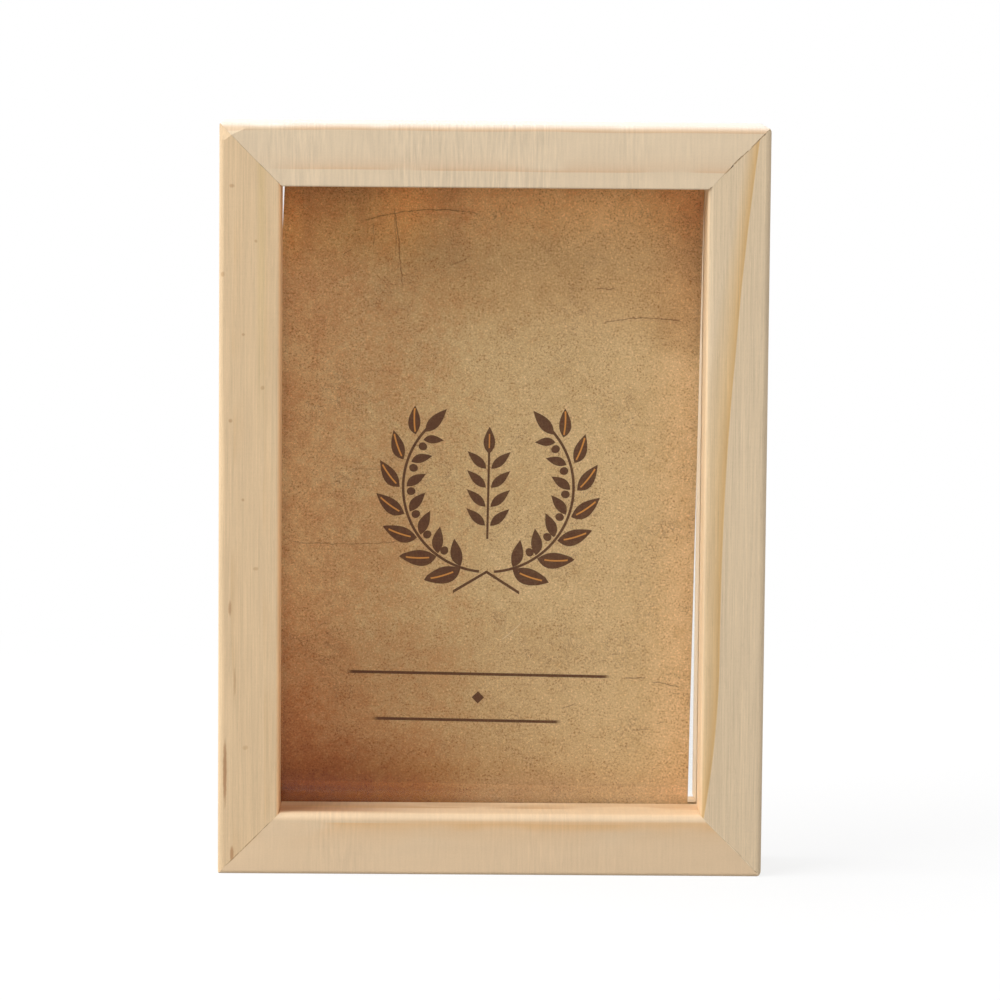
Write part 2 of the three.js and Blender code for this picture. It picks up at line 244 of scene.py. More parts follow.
def line_at(**place):
    """A test for edges that run along the places given, such as y=FRONT."""
    def wanted(edge):
        return all(
            abs(getattr(end.co, axis) - value) < NEAR for end in edge.verts for axis, value in place.items()
        )
    return wanted


def round_edges(piece, wanted, radius, steps=ARRIS_STEPS):
    pick(piece, "EDGE", wanted)
    bpy.ops.mesh.bevel(offset=radius, segments=steps, profile=0.5, affect="EDGES")


def shave(point, normal):
    """In edit mode, takes away all that lies beyond a plane, and closes the cut."""
    bpy.ops.mesh.select_all(action="SELECT")
    bpy.ops.mesh.bisect(
        plane_co=point, plane_no=normal, use_fill=True, clear_outer=True, threshold=NEAR / 4
    )


def score(point, normal):
    """In edit mode, adds edges where a plane crosses the piece."""
    bpy.ops.mesh.select_all(action="SELECT")
    bpy.ops.mesh.bisect(plane_co=point, plane_no=normal, threshold=NEAR / 4)


def push(move):
    bpy.ops.mesh.extrude_region_move(TRANSFORM_OT_translate={"value": move})


def face_outwards():
    """In edit mode, turns all faces outwards."""
    bpy.ops.mesh.select_all(action="SELECT")
    bpy.ops.mesh.normals_make_consistent(inside=False)


def turn(degrees, axis="Y", size=4):
    return Matrix.Rotation(math.radians(degrees), size, axis)


def settle(piece):
    """Applies the piece's place to its mesh."""
    choose(piece)
    bpy.ops.object.transform_apply(location=True, rotation=True, scale=True)
    return piece


def block(name, low, high):
    low, high = Vector(low), Vector(high)
    choose()
    bpy.ops.mesh.primitive_cube_add(size=1, location=(low + high) / 2, scale=high - low)
    bpy.context.object.name = name
    return settle(bpy.context.object)


def disc(name, place, radius, from_y, to_y, steps=ROUND_STEPS):
    """A round bar along Y."""
    choose()
    bpy.ops.mesh.primitive_cylinder_add(
        vertices=steps,
        radius=radius,
        depth=to_y - from_y,
        location=(place.x, (from_y + to_y) / 2, place.z),
        rotation=(math.pi / 2, 0, 0),
    )
    bpy.context.object.name = name
    return settle(bpy.context.object)


def change(piece, kind, **settings):
    """Adds a modifier and applies it."""
    choose(piece)
    modifier = piece.modifiers.new(kind.lower(), kind)
    for setting, value in settings.items():
        setattr(modifier, setting, value)
    bpy.ops.object.modifier_apply(modifier=modifier.name)


def soften(piece, width, steps=2):
    """Rounds the sharp edges of a whole piece."""
    sharp = math.radians(BEVEL_ANGLE)
    change(piece, "BEVEL", width=width, segments=steps, limit_method="ANGLE", angle_limit=sharp)


def discard(piece):
    bpy.data.objects.remove(piece)


def cut(piece, cutter, keep=False):
    change(piece, "BOOLEAN", operation="DIFFERENCE", object=cutter, solver="EXACT")
    if not keep:
        discard(cutter)


def placed_copy(piece, name, place, base, way=Matrix()):
    """A copy of a piece drawn at the origin, with its Y = 0 at the base given."""
    choose(piece)
    bpy.ops.object.duplicate()
    bpy.context.object.name = name
    bpy.context.object.matrix_world = Matrix.Translation((place.x, base, place.z)) @ way
    return settle(bpy.context.object)


def smooth(piece, degrees=SMOOTH_ANGLE):
    choose(piece)
    bpy.ops.object.shade_smooth_by_angle(angle=math.radians(degrees))
    change(piece, "WEIGHTED_NORMAL", keep_sharp=True)


def dress(piece, material, node, body="frame"):
    """Gives a finished piece its material, and puts it in the place of its solid."""
    piece.data.materials.clear()
    piece.data.materials.append(material)
    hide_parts(node)
    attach(piece, body)


# Materials

def maths_method(operation, swapped=False):
    """A method of a value that puts a maths node on it and on any others given."""
    def method(self, *others):
        return self.maths(operation, *((*others, self) if swapped else (self, *others)))
    return method


class Value:
    """A socket of a node, so that shader maths reads as an expression."""

    def __init__(self, finish, socket):
        self.finish, self.socket = finish, socket

    def maths(self, operation, *values):
        """A maths node on the values given, or on this one."""
        inputs = dict(enumerate(values or (self,)))
        return self.finish.node("Math", inputs, operation=operation)

    __add__ = __radd__ = maths_method("ADD")
    __sub__ = maths_method("SUBTRACT")
    __rsub__ = maths_method("SUBTRACT", swapped=True)
    __mul__ = __rmul__ = maths_method("MULTIPLY")
    __truediv__ = maths_method("DIVIDE")
    __pow__ = maths_method("POWER")
    __abs__ = maths_method("ABSOLUTE")
    least = maths_method("MINIMUM")
    most = maths_method("MAXIMUM")
    part = maths_method("FRACT")

    def step(self, low, high):
        """From 0 at low to 1 at high, smoothly. Low may be the greater of the two."""
        inputs = {"Value": self, "From Min": low, "From Max": high}
        return self.finish.node("MapRange", inputs, interpolation_type="SMOOTHSTEP")

    def inked(self):
        """1 inside a printed line or leaf, whose edge is at 0, and 0 outside it."""
        return self.step(*INK_EDGE)


class Finish:
    """The nodes of a material, or of the world, under construction."""

    def __init__(self, name, kinds=bpy.data.materials):
        self.owner = kinds.new(name)
        self.owner.use_nodes = True
        self.tree = self.owner.node_tree
        self.shader = self.tree.nodes.get("Principled BSDF")
        self.last = next(node for node in self.tree.nodes if node.type.startswith("OUTPUT"))

    def node(self, kind, inputs=None, output=0, **settings):
        made = self.tree.nodes.new("ShaderNode" + kind)
        for name, value in settings.items():
            setattr(made, name, value)
        for name, value in (inputs or {}).items():
            self.feed(made.inputs[name], value)
        return Value(self, made.outputs[output])

    def feed(self, socket, value):
        if isinstance(value, Value):
            self.tree.links.new(value.socket, socket)
        else:
            socket.default_value = value

    def place(self):
        """Object coordinates in millimetres."""
        place = self.node("TexCoord", output="Object")
        parts = self.node("SeparateXYZ", {"Vector": place}).socket.node
        return [Value(self, parts.outputs[axis]) * 1000 for axis in "XYZ"]

    def noise(self, place, scale=1.0, detail=2.0, roughness=0.5, distortion=0.0):
        point = self.node("CombineXYZ", dict(zip("XYZ", place)))
        names = ("Vector", "Scale", "Detail", "Roughness", "Distortion")
        values = (point, scale, detail, roughness, distortion)
        return self.node("TexNoise", dict(zip(names, values)), "Fac")

    def rays(self, *kinds):
        """1 for rays of these kinds, 0 for the others."""
        path = self.node("LightPath").socket.node
        return reduce(Value.most, (Value(self, path.outputs[f"Is {kind} Ray"]) for kind in kinds))

    def mixed(self, share, first, second):
        """Two surfaces or skies mixed by a share from 0 to 1."""
        return self.node("MixShader", {0: share, 1: first, 2: second})

    def show(self, surface):
        self.feed(self.last.inputs["Surface"], surface)

    def ramp(self, value, stops):
        """A colour from a scale of stops: places from 0 to 1 with their colours as shown on a screen."""
        made = self.node("ValToRGB", {"Fac": value}, "Color")
        elements = made.socket.node.color_ramp.elements
        while len(elements) < len(stops):
            elements.new(0.5)
        for element, (place, colour) in zip(elements, stops):
            element.position = place
            element.color = (*from_screen(*colour), 1)
        return made

    def blend(self, share, first, second, kind="MIX"):
        """Colours mixed by a share from 0 to 1."""
        first, second = (
            colour if isinstance(colour, Value) else (*colour, 1) for colour in (first, second)
        )
        inputs = {"Factor": share, "A": first, "B": second}
        return self.node("Mix", inputs, "Result", data_type="RGBA", blend_type=kind)

    def paint(self, share, colour, screen_colour):
        """A colour covered by a share of another, which is given as it shows on a screen."""
        return self.blend(share, colour, from_screen(*screen_colour))

    def bump(self, height, distance):
        """Height from 0 to 1, and the distance in millimetres that 1 stands for."""
        bumped = self.node("Bump", {"Height": height, "Distance": distance * MM})
        self.feed(self.shader.inputs["Normal"], bumped)

    def set(self, **sockets):
        for name, value in sockets.items():
            socket = self.shader.inputs[name.replace("_", " ").title().replace("Ior", "IOR")]
            if isinstance(value, tuple):
                value = (*value, 1)
            self.feed(socket, value)


def from_screen(red, green, blue):
    """A colour as it shows on a screen, from 0 to 255, made linear."""
    return tuple(
        part / 255 / 12.92 if part <= 10 else ((part / 255 + 0.055) / 1.055) ** 2.4
        for part in (red, green, blue)
    )


# The camera, the floor and the light

def put(name, device, matrix):
    """Puts a camera or a lamp in its place."""
    holder = bpy.data.objects.new(name, device)
    bpy.context.scene.collection.objects.link(holder)
    holder.matrix_world = matrix
    return holder


def place_camera():
    camera = bpy.data.cameras.new("camera")
    camera.sensor_width = SENSOR_WIDTH
    camera.lens = FOCAL_PIXELS / PICTURE_WIDTH * SENSOR_WIDTH
    camera.clip_start, camera.clip_end = CLIP_RANGE
    way = turn(CAMERA_YAW, "Z") @ turn(CAMERA_PITCH, "X") @ turn(CAMERA_ROLL, "Y") @ turn(90, "X")
    bpy.context.scene.camera = put("camera", camera, Matrix.Translation(CAMERA_PLACE) @ way)


def place_lamp(name, way, distance, size, level):
    """A square lamp that looks at the middle of the frame. At level 1 it lights a face turned to it so that a
    colour shows as written."""
    lamp = bpy.data.lights.new(name, "AREA")
    lamp.size = size
    lamp.energy = level * math.pi**2 * distance**2
    way = Vector(way).normalized()
    looking = way.to_track_quat("Z", "Y").to_matrix().to_4x4()
    put(name, lamp, Matrix.Translation(Vector((0, 0, MIDDLE_Z)) + way * distance) @ looking)


def light_the_room():
    """A dim room of even light with a white background, and the lamps in it."""
    room = Finish("studio", bpy.data.worlds)
    bpy.context.scene.world = room.owner
    soft, white = (
        room.node("Background", {"Color": (1, 1, 1, 1), "Strength": level})
        for level in (WORLD_LEVEL, 1)
    )
    room.show(room.mixed(room.rays(*DIRECT_RAYS), soft, white))
    for name, settings in LAMPS.items():
        place_lamp(name, *settings)


def lay_floor():
    """A pale floor. Seen directly it is white but for the frame's shadow; mirrored from the camera's side it
    is as dark as the room there."""
    choose()
    bpy.ops.mesh.primitive_plane_add(size=FLOOR_SIZE)
    floor = bpy.context.object
    floor.name = "floor"
    finish = Finish("pale floor")
    finish.tree.nodes.remove(finish.shader)
    place = finish.node("TexCoord", output="Object")
    from_frame = finish.node("VectorMath", {0: place}, "Value", operation="LENGTH")
    apart = finish.node("SeparateXYZ", {"Vector": place}, "Y")
    mirrored = finish.rays("Glossy")
    dimmed = mirrored * apart.step(*DARK_SIDE) * (1 - DARK_SIDE_LEVEL)
    matt, pale = (
        finish.node("BsdfDiffuse", {"Color": (shade, shade, shade, 1)})
        for shade in (FLOOR_SHADE, FLOOR_SEEN_SHADE)
    )
    white = finish.node("Emission", {"Strength": 1 - dimmed})
    share = (from_frame.step(*FLOOR_REACH) * (1 - FLOOR_WHITE) + FLOOR_WHITE).most(mirrored)
    finish.show(finish.mixed(finish.rays(*DIRECT_RAYS), matt, finish.mixed(share, pale, white)))
    floor.data.materials.append(finish.owner)


place_camera()
light_the_room()
lay_floor()


# Materials of this frame

def lightened(finish, colour, factor):
    """A colour made lighter or darker by a factor."""
    return finish.node("VectorMath", {"Vector": colour, "Scale": factor}, operation="SCALE")


def board_place(finish, side):
    """The place along a board from its middle, across it from its outer face and back from its front."""
    x, y, z = finish.place()
    back = y - FRONT / MM
    if side == "bottom":
        return x, z, back
    if side == "top":
        return x, TOP / MM - z, back
    return z - MIDDLE_Z / MM, RIGHT / MM - x if side == "right" else x - LEFT / MM, back


def spots(finish, along, across, places):
    """Soft spots. Each has its place along and across, its half lengths that way, and its strength."""
    frayed = finish.noise((along * 0.8, across * 2.2, 0.5), 1, 2) * 1.5 + 0.25

    def spot(at_along, at_across, long, wide, strength):
        squares = ((along - at_along) / long) ** 2 + ((across - at_across) / wide) ** 2
        return (squares * frayed).step(1.3, 0.1) * strength
    return reduce(Value.most, (spot(*place) for place in places))


def pine(name, side, board):
    """Planed pine. The board tells its colours, its rings, its streaks and its marks."""
    finish = Finish(name)
    along, across, back = board_place(finish, side)
    seed = board["seed"]

    def drawn_out(run, spread, shifts, *settings):
        """Noise of so many waves to the mm along the board, and so many across it and through it."""
        place = along * run + shifts[0], across * spread + shifts[1], back * spread
        return finish.noise(place, 1, *settings)

    # Growth rings: sheets that run along the board, each dark on one side and fading on the other
    sway = drawn_out(0.02, 0.05, (seed, 0), 2) - 0.5
    slope, inwards, offset = board["rings"]
    line = board["line"](along) if "line" in board else 0
    rings = back * slope + across * inwards - line + sway * board["sway"] + offset
    place_in_ring = (rings / board["spacing"]).part() * board["spacing"]
    patch = drawn_out(0.045, 0.12, (-seed, 0), 2)
    late = (place_in_ring * (-1 / board["fade"])).maths("EXPONENT") * place_in_ring.step(0, 0.25)
    late = late * patch.step(*board["patches"]) * board["late_share"]
    colour = from_screen(*board["early"])
    # Tints of the wood, and painted light and shade on some faces
    for tint, shade in board["tints"]:
        colour = finish.paint(tint(along, across, back), colour, shade)
    colour = finish.paint(late, colour, board["late"])
    # Long and short streaks along the grain, and the plane's marks across it
    long_streaks = drawn_out(0.022, 1.3, (0, seed), 3, 0.6, 0.3)
    hair = drawn_out(0.05, 3.2, (0, -seed), 4, 0.65, 0.3)
    pores = drawn_out(0.34, 4.4, (-seed, 0), 2, 0.5)
    marks = drawn_out(1.7, 0.11, (seed, 0), 3, 0.6)
    cloud = drawn_out(0.03, 0.13, (0, -seed), 2)
    strong = finish.noise((along * 0.06 + seed, 0.5, 0.5), 1, 1).step(0.35, 0.65)
    grit = finish.noise((along, across, back), 2.4, 3, 0.7)
    tone = (
        (long_streaks - 0.5) * board["long"]
        + (hair - 0.5) * board["hair"]
        + (pores.step(0.4, 0.27) - pores.step(0.58, 0.72)) * board["flecks"]
        + (marks - 0.5) * (strong * board["marks"] + board["marks"] * 0.4)
        + (grit - 0.5) * 0.13
        + (cloud - 0.5) * 0.16
        + 1
    )
    if "spots" in board:
        brown = spots(finish, along, across, board["spots"]) * back.step(3, 1)
        colour = finish.paint(brown * 0.75, colour, (164, 116, 72))
    # The glue line: darker or paler beside each mitre
    half = (TOP if side in ("left", "right") else RIGHT - LEFT) / 2 / MM
    for end, mitre in zip((-1, 1), board.get("mitres", ())):
        if mitre:
            strength, shade, (first, last) = mitre
            beside = (along * -end + half - across).step(0.24, 0.06)
            beside = beside * across.step(first - 1.5, first) * across.step(last, last - 2)
            broken = finish.noise((along * 0.5, across * 0.5, back * 0.5), 1, 2).step(0.3, 0.5)
            colour = finish.paint(beside * broken * strength, colour, shade)
    colour = lightened(finish, colour, tone)
    finish.set(base_color=colour, roughness=(long_streaks * 0.16 + grit * 0.1) + 0.46)
    finish.bump(hair * board["hair"] + marks * board["marks"] * 0.5 + grit * 0.3, 0.03)
    return finish.owner


def left_amber(along, across, back):
    """Amber near the inner edge of the upper part."""
    return across.step(8.3, 9.8) * across.step(11.8, 10.2) * along.step(5, 60) * 0.5


def right_line(along):
    """Across the right rail, the place of its one sharp ring."""
    above, below = (along + 36).most(0), (along * -1 - 36).most(0)
    return above**2 * -0.00052 + below**2 * 0.0021 + 10.6


def right_amber(along, across, back):
    """Resin inside the sharp ring, wider towards the bottom."""
    beyond = across - right_line(along)
    reach = along.step(85, 5) * 4.2 + 3.2
    return (1 - beyond / reach).most(0) * beyond.step(-0.1, 0.2) * 0.75


def painted_top_light(along, across, back):
    """Painted light: the upper face is painted paler, standing in for the strong light from above."""
    return across.step(1.2, 0.1)


def bottom_amber(along, across, back):
    """A resinous band just below the inner arris."""
    return across.step(10.0, 12.6) * across.step(14.2, 13.4) * along.step(-40, -5) * 0.8


def painted_wall_light(start, end):
    """Painted light: the inner arris and the wall of the recess, painted lighter, standing in for the light
    that falls into the recess.
    """
    return lambda along, across, back: across.step(start, end)


def painted_wall_shadow(along, across, back):
    """Painted shadow: the bottom rail's wall is painted browner towards its left end, where the left rail
    casts its shadow.
    """
    deep = back.step(1.4, 4) * (back.step(14, 8) * 0.5 + 0.5)
    return across.step(14.5, 14.75) * deep * along.step(-12, -44) * 0.75


# The height of each spot on the left rail, its place across it, its half lengths both ways and its strength
LEFT_SPOTS = [
    (164.3, 3.0, 0.5, 0.65, 0.6),
    (151.3, 8.7, 0.4, 0.4, 0.6),
    (143.4, 0.9, 0.7, 0.5, 0.6),
    (129.2, 5.8, 0.4, 0.45, 0.65),
    (116.6, 10.4, 0.6, 0.5, 0.55),
    (108.7, 2.8, 0.5, 0.5, 0.65),
    (89.9, 5.8, 0.4, 0.4, 0.65),
    (73.5, 8.9, 0.5, 0.7, 0.5),
    (64.0, 2.8, 2.0, 0.4, 0.75),
    (46.5, 4.0, 3.6, 0.3, 0.55),
    (24.5, 1.7, 8.5, 0.5, 1.0),
    (30.5, 6.6, 0.6, 0.7, 0.45),
    (4.8, 3.4, 2.1, 0.5, 1.0),
]

# Each rail's wood: the colours of early and late wood; its rings' slopes backwards and inwards, their place,
# the line they follow, how far apart they are in mm, how fast they fade, how much they sway and where they
# show; its streaks, hairs, flecks and plane marks; its tints, of the wood and of painted light and shade; and
# the glue line at its two ends, with its strength, its colour and where it starts and ends across the rail
BOARDS = {
    "top": dict(
        seed=3.0, early=(216, 194, 163), late=(208, 172, 135), late_share=0.95,
        rings=(0.22, -1, 38.85), spacing=9.3, fade=1.4, sway=1.6, patches=(0.3, 0.5),
        long=0.04, hair=0.02, flecks=0.01, marks=0.46,
        # Painted light on the upper face
        tints=[(painted_top_light, (247, 235, 221))],
        mitres=(None, (0.8, (166, 134, 94), (1, 12))),
    ),
    "bottom": dict(
        seed=11.0, early=(214, 187, 152), late=(212, 170, 120), late_share=0.9,
        rings=(0.3, -1, 51.6), spacing=13.0, fade=2.2, sway=1.2, patches=(0.33, 0.55),
        long=0.03, hair=0.02, flecks=0.01, marks=0.25,
        tints=[
            (bottom_amber, (216, 176, 128)),
            # Painted light on the inner arris and the wall
            (painted_wall_light(12.7, 13.5), (229, 200, 163)),
            (painted_wall_light(14.3, 14.75), (237, 208, 171)),
            # Painted shadow of the left rail on the wall
            (painted_wall_shadow, (178, 122, 80)),
        ],
        mitres=((0.8, (168, 132, 92), (3, 11)), (0.8, (238, 219, 188), (1, 15))),
    ),
    "left": dict(
        seed=23.0, early=(213, 184, 145), late=(203, 168, 122), late_share=0.5,
        rings=(0.5, 1, 4.2), spacing=7.4, fade=1.6, sway=2.2, patches=(0.4, 0.62),
        long=0.34, hair=0.4, flecks=0.07, marks=0.05,
        tints=[
            (left_amber, (207, 178, 126)),
            # Painted light on the inner arris and the wall
            (painted_wall_light(13.6, 14.5), (250, 202, 150)),
        ],
        spots=[(height - MIDDLE_Z / MM, *spot) for height, *spot in LEFT_SPOTS],
        mitres=((0.8, (160, 124, 84), (3, 11)), None),
    ),
    "right": dict(
        seed=31.0, early=(211, 188, 155), late=(198, 156, 96), late_share=0.9,
        rings=(0.3, 1, 40), line=right_line, spacing=40.0, fade=1.0, sway=0.9, patches=(0.1, 0.4),
        long=0.34, hair=0.5, flecks=0.09, marks=0.05,
        tints=[
            (right_amber, (208, 172, 116)),
            # Painted light on the inner arris and the wall
            (painted_wall_light(14.0, 14.75), (244, 214, 174)),
        ],
        mitres=((0.5, (236, 216, 184), (1, 15)), (0.8, (150, 118, 80), (1, 12))),
    ),
}
# The strips' pine, paler than the rails', partly as painted light for the light that reaches them behind the
# card
STRIP_BOARD = dict(
    seed=43.0, early=(247, 222, 186), late=(230, 194, 148), late_share=0.55,
    rings=(0.8, 0.45, 5), spacing=4.6, fade=0.9, sway=2.4, patches=(0.36, 0.6),
    long=0.3, hair=0.3, flecks=0.06, marks=0.08, tints=[],
)


def clear_glass():
    """Clear glass with faint wiping marks and dust. Shadows and soft light go straight through."""
    finish = Finish("clear glass")
    x, y, z = finish.place()
    wiped = finish.noise((x * 0.05 + z * 0.03, y, z * 0.12 - x * 0.02), 1, 3, 0.6).step(0.52, 0.8)
    dust = finish.noise((x, y, z), 1.4, 2, 0.5).step(0.74, 0.8)
    finish.set(
        base_color=finish.blend(dust * 0.12, (1.0, 0.998, 0.99), (0.86, 0.85, 0.82)),
        roughness=wiped * 0.02 + dust * 0.06,
        ior=1.49,
        transmission_weight=1.0,
    )
    glassy = Value(finish, finish.shader.outputs[0])
    clear = finish.node("BsdfTransparent", {"Color": (0.92, 0.93, 0.92, 1)})
    finish.show(finish.mixed(finish.rays("Shadow", "Diffuse"), glassy, clear))
    return finish.owner


def turned(along, across, degrees):
    """A place in axes turned by an angle."""
    cosine, sine = math.cos(math.radians(degrees)), math.sin(math.radians(degrees))
    return along * cosine + across * sine, across * cosine - along * sine


def card_place(finish):
    """The place across the card and up it from its middle, and back, in mm."""
    x, y, z = finish.place()
    low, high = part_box("printed_card")
    across, up = x - (low.x + high.x) / 2 / MM, z - (low.z + high.z) / 2 / MM
    return *turned(across, up, -CARD_TILT), y


def leaf(along, across, half_length, half_width):
    """How far inside a pointed leaf a place is, in mm. Its rounder end is at negative along."""
    share = along / half_length
    return (1 - share**2) * (1 - share * 0.35).most(0.3) * half_width - abs(across)


def wreath(across, up):
    """An open wreath of two leafy sprigs with berries: how much ink, and how much gold."""
    up = up - WREATH_UP
    side = abs(across)
    radius = (side**2 + up**2) ** 0.5
    bearing = side.maths("ARCTAN2", side, up * -1)
    cell = (bearing - WREATH_START) / WREATH_STEP
    pitch = WREATH_STEP * WREATH_RADIUS
    arc = (cell.part() - 0.5) * pitch
    out = radius - WREATH_RADIUS
    within = cell.step(-0.01, 0.01) * cell.step(WREATH_LEAVES + 0.01, WREATH_LEAVES - 0.01)
    size = cell.maths("FLOOR") * -0.05 + 1.06
    outer_along, outer_across = turned(arc - 0.5, out - 3.6, 48)
    outer = leaf(outer_along / size, outer_across / size, 4.3, 1.75)
    inner_along, inner_across = turned(arc - 0.2, out + 3.0, -46)
    inner = leaf(inner_along / size, inner_across / size, 3.5, 1.4)
    leaves = outer.most(inner).inked() * within
    rib = (0.17 - abs(outer_across)).least(2.6 - abs(outer_along)).inked() * within
    first, last = (math.radians(end) for end in STEM_ENDS)
    stem = (0.32 - abs(out)).least((bearing - first) * 10).least((last - bearing) * 10)
    between = ((cell + 0.5).part() - 0.5) * pitch
    berry = (1.05 - (between**2 + (out + 1.9) ** 2) ** 0.5).inked()
    berry = berry * cell.step(0.4, 0.45) * cell.step(WREATH_LEAVES - 0.4, WREATH_LEAVES - 0.5)
    # One more leaf ends each sprig
    angle = math.radians(END_LEAF)
    from_end = side - WREATH_RADIUS * math.sin(angle), up + WREATH_RADIUS * math.cos(angle)
    end_leaf = leaf(*turned(*from_end, 132), 3.8, 1.35).inked()
    tail = (0.32 - abs(up + WREATH_RADIUS + side * 0.62) * 0.85).least(8.0 - side)
    ink = leaves.most(stem.most(tail).inked()).most(berry).most(end_leaf)
    return ink, rib


def upright_sprig(across, up):
    """A small straight sprig inside the wreath: how much ink, and how much gold."""
    up = up - WREATH_UP
    side = abs(across)
    cell = (up + 9.5) / SPRIG_PITCH
    level = (cell.part() - 0.5) * SPRIG_PITCH
    within = cell.step(-0.01, 0.01) * cell.step(4.01, 3.99)
    leaves = leaf(*turned(side - 2.9, level, 42), 3.1, 1.05).inked() * within
    stem = (0.27 - side).least(up + 12.5).least(9.6 - up).inked()
    bud = leaf(up - 11.4, side, 3.3, 1.35).inked()
    rib = (0.15 - side).least(1.7 - abs(up - 11.2)).inked()
    return leaves.most(stem).most(bud), rib


def rule_line(across, up, level, half_length, half_width, middle):
    """A plain ruled line that tapers towards its ends."""
    distance = abs(across - middle)
    return (half_width - abs(up - level)).least((half_length - distance) * 0.05).step(-0.06, 0.04)


def hairline(along, across, start, end, level, sag, rise, width, strength):
    """A fine scratch or crease that runs from start to end with some sag and rise."""
    share = (along - start) / (end - start)
    path = share * (1 - share) * (4 * sag) + share * rise + level
    inside = share.step(0, 0.12) * share.step(1, 0.88)
    return abs(across - path).step(width * 1.6, width * 0.4) * inside * strength


def kraft_card():
    """Aged kraft with a print on its front."""
    finish = Finish("printed kraft card")
    across, up, back = card_place(finish)
    spot = across, up, back * 0.2
    # 1 on the printed front, 0 on the bare back
    low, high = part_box("printed_card")
    on_front = back.step(high.y / MM - 0.1, low.y / MM + 0.1)
    clouds = finish.noise(spot, 0.05, 3, 0.6, 0.4)
    mottle = finish.noise(spot, 0.3, 4, 0.65, 0.3)
    speckle = finish.noise(spot, 1.1, 3, 0.75)
    grain = finish.noise(spot, 2.7, 2, 0.7)
    crumbs = finish.noise(spot, 2.0, 2, 0.6, 0.2)
    crowd = finish.noise(spot, 0.2, 4, 0.65).step(0.4, 0.6)
    # Browner towards the left, the lower left corner and the upper corners, as the paper has aged
    to_right = across.step(-62, 30) * 0.46
    corner = ((across + 50) * 0.01 + (up + 76) * (2.1 / 152)).step(0.02, 0.86) * 0.34
    upper = up.step(76, 52) * 0.12
    edge = (abs(across) * -1 + 50).least(abs(up) * -1 + 76).step(0, 5) * 0.05
    tan = to_right + corner + upper + edge
    tan = tan + (clouds - 0.5) * 0.42 + (mottle - 0.5) * 0.4 + (speckle - 0.5) * 0.5
    colour = finish.ramp(tan, KRAFT)
    # Painted light: the card is painted lighter near its left, right and upper edges, lifting the rails'
    # shade.
    # The print fades to orange and brown towards its edges, most of all in the lower left corner
    orange = up.step(34, 54) * (across.step(-50, -5) * 0.7 + 0.3)
    foxed = (up.step(-28, -38) * 0.35 + up.step(-52, -72) * 0.65) * across.step(46, -22)
    for share, factors in (
        (across.step(-22, -42), (1.28, 1.37, 1.47)),
        (across.step(36, 50), (1.25, 1.22, 1.26)),
        (up.step(57, 77) * (across.step(-34, -16) * 0.7 + 0.3), (1.8, 1.65, 1.55)),
        (up.step(50, 70) * across.step(-34, -25) * across.step(-10, -20), (1.2, 1.2, 1.2)),
        (up.step(48, 62) * across.step(-22, -16) * across.step(-4, -10), (0.9, 0.9, 0.9)),
        (up.step(34, 38) * up.step(50, 44) * across.step(36, 42), (0.86, 0.82, 0.77)),
        (up.step(-60, -71) * across.step(10, -20), (0.92, 0.86, 0.68)),
        (up.step(-67, -72) * across.step(0, -20), (1.0, 0.84, 0.45)),
        (up.step(-62, -72) * across.step(0, 12), (0.89, 0.82, 0.76)),
        (up.step(50, 66) * across.step(-44, -49), (1.3, 1.35, 1.3)),
        (up.step(50, 64) * across.step(-8, -22), (0.97, 0.94, 0.8)),
        (up.step(40, 66) * across.step(34, 50), (0.84, 0.76, 0.7)),
        (orange, (0.9, 0.8, 0.7)),
        (foxed, (0.7, 0.55, 0.45)),
    ):
        colour = finish.blend(share * (on_front * 0.6 + 0.4), colour, factors, "MULTIPLY")
    # Grain and crumbs of fibre, some darker and some paler
    for share, factors in (
        (grain.step(0.5, 0.3), (0.84, 0.77, 0.7)),
        (grain.step(0.5, 0.72), (1.12, 1.12, 1.12)),
        (crumbs.step(0.47, 0.33) * (crowd * 0.85 + 0.15), (0.62, 0.5, 0.38)),
        (crumbs.step(0.54, 0.68) * (1 - crowd * 0.4), (1.3, 1.31, 1.34)),
    ):
        colour = finish.blend(share, colour, factors, "MULTIPLY")
    # Fine crackle and creases
    crackle = abs(finish.noise(spot, 0.3, 4, 0.7, 0.8) - 0.5).step(0.016, 0.004)
    crackle = crackle * finish.noise(spot, 0.07, 2).step(0.5, 0.64) * 0.45
    fray = (mottle - 0.5) * 1.3 + (speckle - 0.5) * 0.5
    creases = [hairline(across, up + fray, *crease) for crease in LEVEL_CREASES]
    creases += [hairline(up, across + fray, *crease) for crease in UPRIGHT_CREASES]
    worn = reduce(Value.most, creases)
    worn = (worn * (speckle.step(0.32, 0.52) * 0.75 + 0.25)).most(crackle)
    colour = finish.paint(worn, colour, (96, 50, 22))
    pale = hairline(across, up, *PALE_SCRATCH)
    colour = finish.paint(pale, colour, (232, 205, 165))
    # The reflected wall of the recess lightens a band over the lowest part
    band = up.step(-69.1, -69.4) * up.step(-71.6, -69.4) * (across.step(50, -30) * 0.6 + 0.4) * on_front
    colour = finish.blend(band, colour, (1.2, 1.2, 1.22), "MULTIPLY")
    # The print: a wreath around a sprig, and two ruled lines with a diamond between them
    ink, gold = wreath(across, up)
    sprig, sprig_gold = upright_sprig(across, up)
    diamond = (1.5 - (abs(across + 1.4) + abs(up + 48.1))).inked()
    for motif in (sprig, *(rule_line(across, up, *line) for line in RULE_LINES), diamond):
        ink = ink.most(motif)
    screen_dots = ((across + up) * 8.9).maths("SINE") * ((across - up) * 8.9).maths("SINE")
    ink = ink * (speckle * 0.3 + 0.83).least(1) * (screen_dots * 0.05 + 0.95) * on_front
    colour = finish.paint(ink, colour, (84, 43, 20))
    colour = finish.paint(gold.most(sprig_gold) * on_front * 0.95, colour, (214, 142, 66))
    finish.set(base_color=colour, roughness=grain * 0.12 + 0.72, specular_ior_level=0.25)
    finish.bump(grain * 0.6 + mottle * 0.4, 0.05)
    return finish.owner


